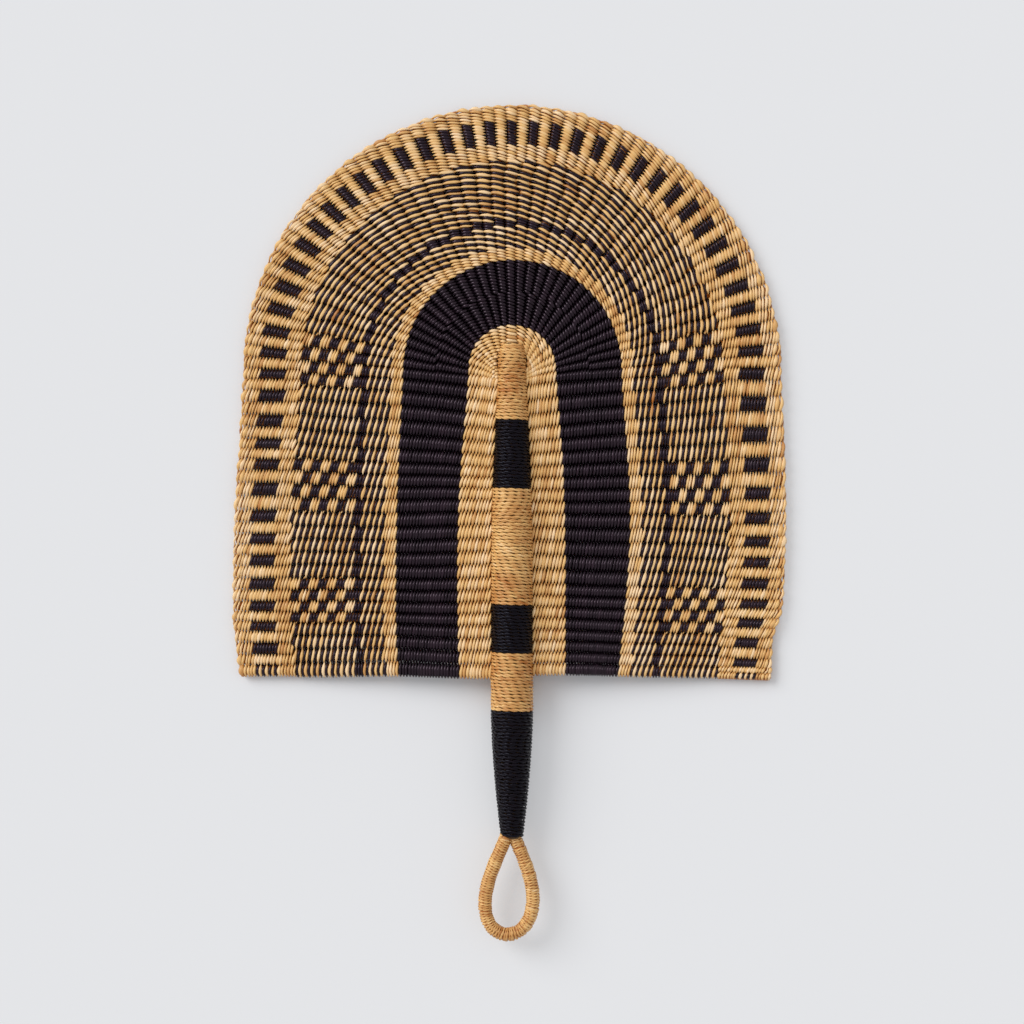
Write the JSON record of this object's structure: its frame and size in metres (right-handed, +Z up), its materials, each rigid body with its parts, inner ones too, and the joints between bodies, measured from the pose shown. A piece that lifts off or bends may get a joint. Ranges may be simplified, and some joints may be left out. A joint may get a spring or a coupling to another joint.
{
  "type": "woven straw hand fan",
  "caption": "Arch-shaped hand fan of twined natural and black straw on ribs, with a wrapped handle through the middle of the panel and a hanging loop at its end.",
  "frame": {"origin": "under the middle of the fan, on the surface that it lies on", "axes": "+Y along the handle from the loop to the arch, +Z up, out of the front of the panel"},
  "size_m": [0.3042, 0.4604, 0.0242],
  "materials": {
    "natural_straw": "split straw, satin",
    "black_straw": "dyed straw, satin",
    "two_tone_straw": "natural and dyed straw",
    "rib_straw": "straw bundle, matt",
    "core_stalks": "bundle of stalks, matt"
  },
  "bodies": {
    "root": {"arch_rib_01": "rib_straw", "arch_rib_02": "rib_straw", "arch_rib_03": "rib_straw", "arch_rib_04": "rib_straw", "arch_rib_05": "rib_straw", "arch_rib_06": "rib_straw", "arch_rib_07": "rib_straw", "arch_rib_08": "rib_straw", "arch_rib_09": "rib_straw", "arch_rib_10": "rib_straw", "arch_rib_11": "rib_straw", "arch_rib_12": "rib_straw", "arch_rib_13": "rib_straw", "arch_rib_14": "rib_straw", "arch_rib_15": "rib_straw", "arch_rib_16": "rib_straw", "arch_rib_17": "rib_straw", "arch_rib_18": "rib_straw", "arch_rib_19": "rib_straw", "arch_rib_20": "rib_straw", "arch_rib_21": "rib_straw", "cross_rib_01": "rib_straw", "cross_rib_02": "rib_straw", "cross_rib_03": "rib_straw", "cross_rib_04": "rib_straw", "cross_rib_05": "rib_straw", "cross_rib_06": "rib_straw", "cross_rib_07": "rib_straw", "cross_rib_08": "rib_straw", "cross_rib_09": "rib_straw", "cross_rib_10": "rib_straw", "cross_rib_11": "rib_straw", "cross_rib_12": "rib_straw", "cross_rib_13": "rib_straw", "cross_rib_14": "rib_straw", "cross_rib_15": "rib_straw", "cross_rib_16": "rib_straw", "cross_rib_17": "rib_straw", "cross_rib_18": "rib_straw", "cross_rib_19": "rib_straw", "cross_rib_20": "rib_straw", "cross_rib_21": "rib_straw", "cross_rib_22": "rib_straw", "cross_rib_23": "rib_straw", "cross_rib_24": "rib_straw", "handle_core": "core_stalks", "loop_core": "core_stalks", "loop_wrap": "natural_straw", "weave_black": "black_straw", "weave_border": "natural_straw", "weave_natural_inner": "natural_straw", "weave_two_tone": "two_tone_straw", "wrap_black_grip": "black_straw", "wrap_black_lower": "black_straw", "wrap_black_upper": "black_straw", "wrap_natural_lower": "natural_straw", "wrap_natural_middle": "natural_straw", "wrap_natural_tip": "natural_straw"}
  },
  "joints": []
}
